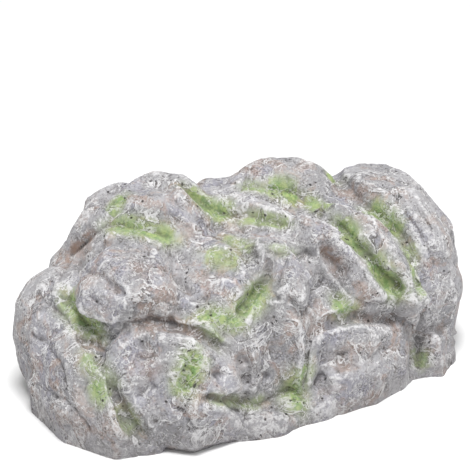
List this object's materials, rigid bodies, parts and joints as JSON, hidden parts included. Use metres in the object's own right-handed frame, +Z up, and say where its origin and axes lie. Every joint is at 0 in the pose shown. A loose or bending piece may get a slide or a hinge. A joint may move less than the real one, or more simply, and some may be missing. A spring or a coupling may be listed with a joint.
{
  "type": "hide a key rock",
  "caption": "Imitation stone with a flat underside, a key compartment closed by a lid that slides in a dovetail channel, and a loose cross-bladed key inside.",
  "frame": {"origin": "centre of the bounding box on the flat underside that the rock stands on", "axes": "+X along the rock's length, towards the end where the lid slides out; -Y towards its modelled front; +Z up"},
  "size_m": [0.1151, 0.0711, 0.05],
  "materials": {
    "resin": "matt cast resin, dry-brushed light grey with moss green in the cracks",
    "lid_resin": "plain matt grey",
    "key_metal": "bright nickel plated"
  },
  "bodies": {
    "rock": {"rock_body": "resin"},
    "lid": {"sliding_lid": "lid_resin"},
    "key": {"key_bow": "key_metal", "key_shank": "key_metal"}
  },
  "joints": [
    {"name": "lid_slide", "type": "slide", "parent": "rock", "child": "lid", "axis": [1, 0, 0], "range_m": [0, 0.105]},
    {"name": "key_lift", "type": "slide", "parent": "rock", "child": "key", "axis": [0, 0, 1], "range_m": [0, 0.014]}
  ]
}
